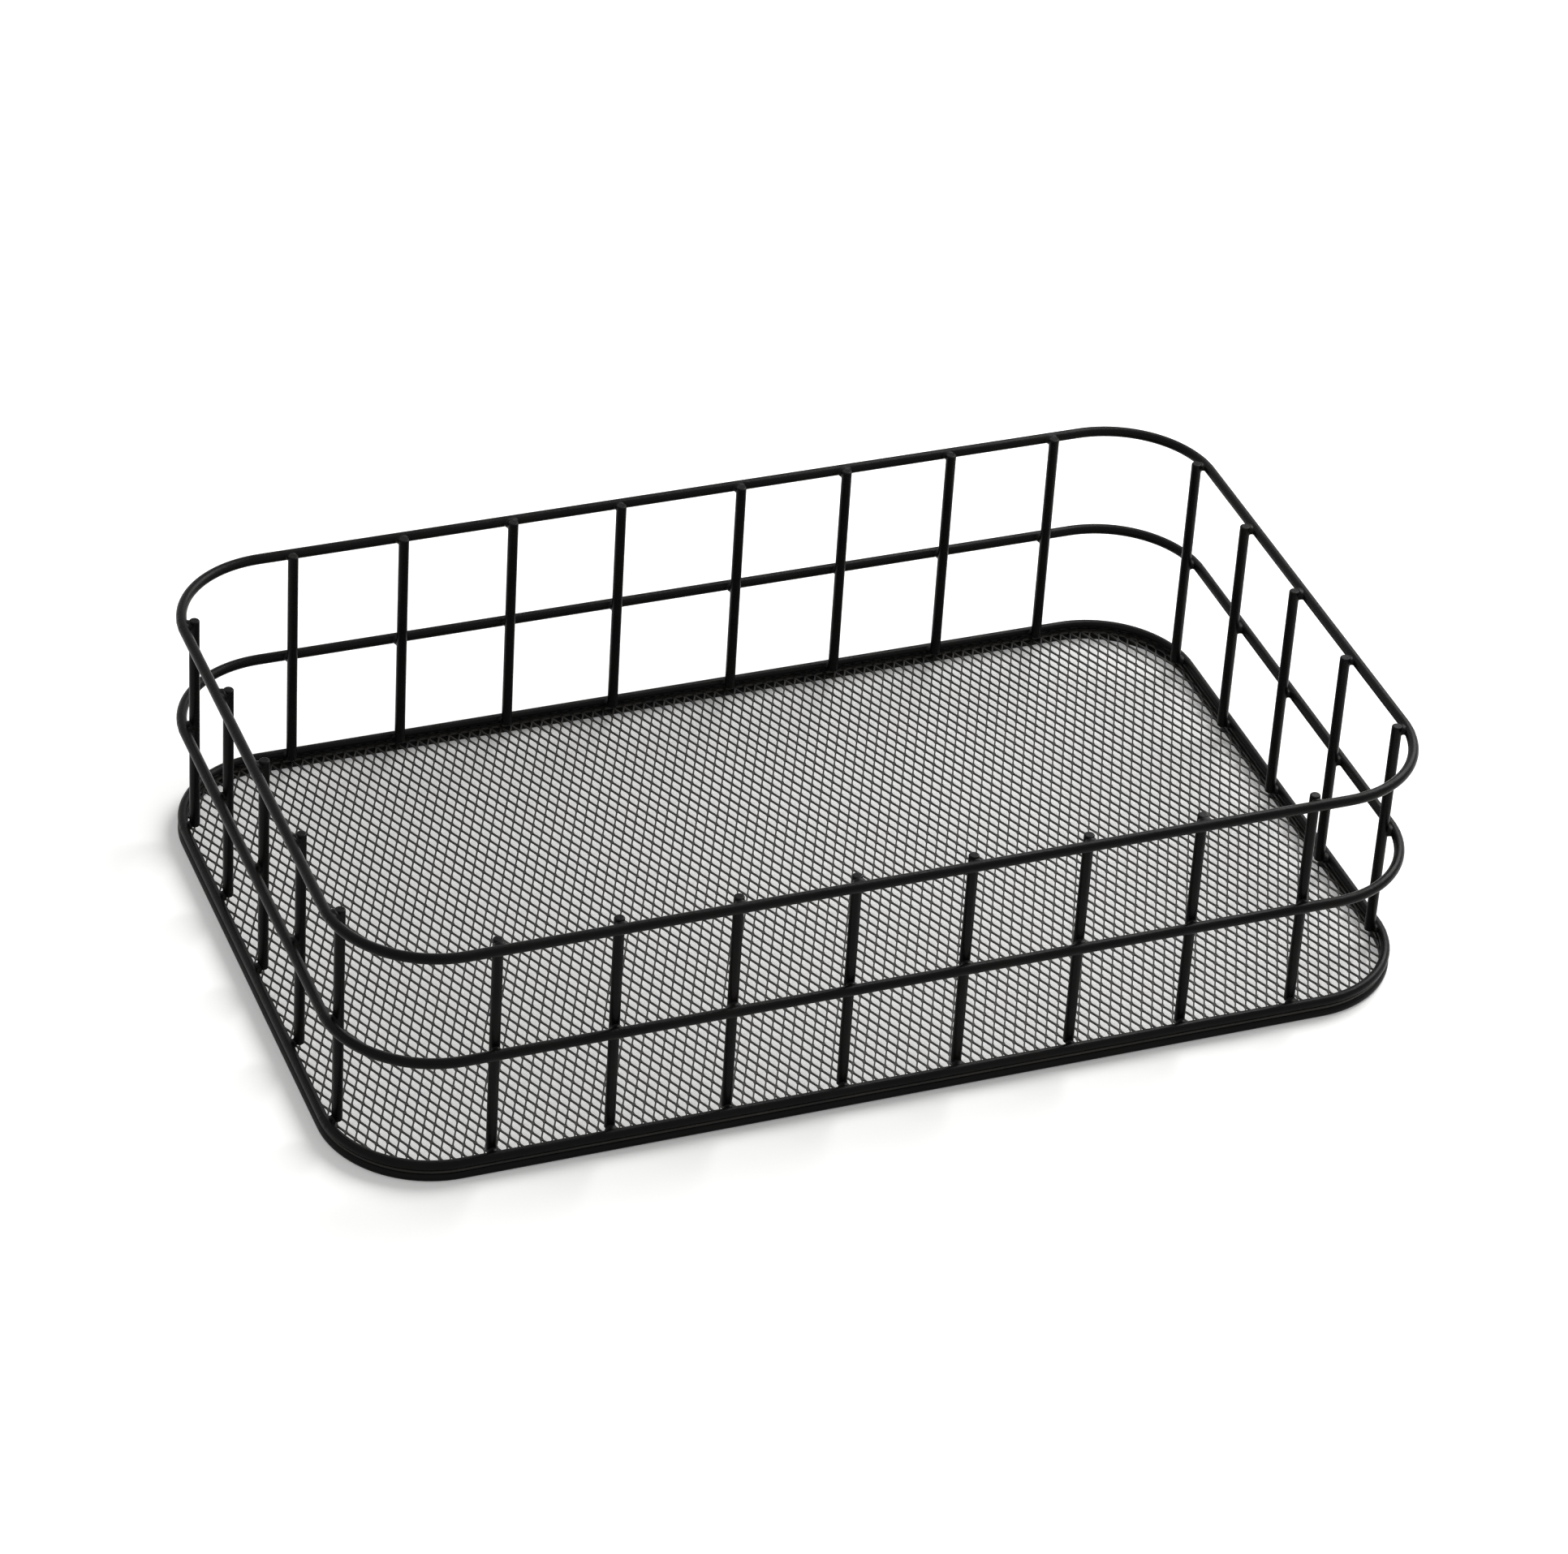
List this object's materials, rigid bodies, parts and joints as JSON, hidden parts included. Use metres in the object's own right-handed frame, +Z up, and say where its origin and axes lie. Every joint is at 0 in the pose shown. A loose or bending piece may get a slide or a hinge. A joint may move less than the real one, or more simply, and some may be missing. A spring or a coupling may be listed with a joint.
{
  "type": "wire storage basket",
  "caption": "Low open-top storage basket of black coated iron wire: rounded rectangular hoops, upright wires and a fine mesh floor gripped in a doubled base hoop.",
  "frame": {"origin": "under the middle of the base, on the surface that the basket stands on", "axes": "+X along the length, +Y to the back, +Z up"},
  "size_m": [0.25, 0.156, 0.06],
  "materials": {
    "coated_wire": "satin black coating on drawn iron wire",
    "coated_mesh": "satin black coating on fine expanded iron mesh"
  },
  "bodies": {
    "root": {"rim_hoop": "coated_wire", "middle_hoop": "coated_wire", "base_upper_hoop": "coated_wire", "base_lower_hoop": "coated_wire", "floor_mesh": "coated_mesh", "upright_front_1": "coated_wire", "upright_front_2": "coated_wire", "upright_front_3": "coated_wire", "upright_front_4": "coated_wire", "upright_front_5": "coated_wire", "upright_front_6": "coated_wire", "upright_front_7": "coated_wire", "upright_front_8": "coated_wire", "upright_back_1": "coated_wire", "upright_back_2": "coated_wire", "upright_back_3": "coated_wire", "upright_back_4": "coated_wire", "upright_back_5": "coated_wire", "upright_back_6": "coated_wire", "upright_back_7": "coated_wire", "upright_back_8": "coated_wire", "upright_left_1": "coated_wire", "upright_left_2": "coated_wire", "upright_left_3": "coated_wire", "upright_left_4": "coated_wire", "upright_left_5": "coated_wire", "upright_right_1": "coated_wire", "upright_right_2": "coated_wire", "upright_right_3": "coated_wire", "upright_right_4": "coated_wire", "upright_right_5": "coated_wire"}
  },
  "joints": []
}
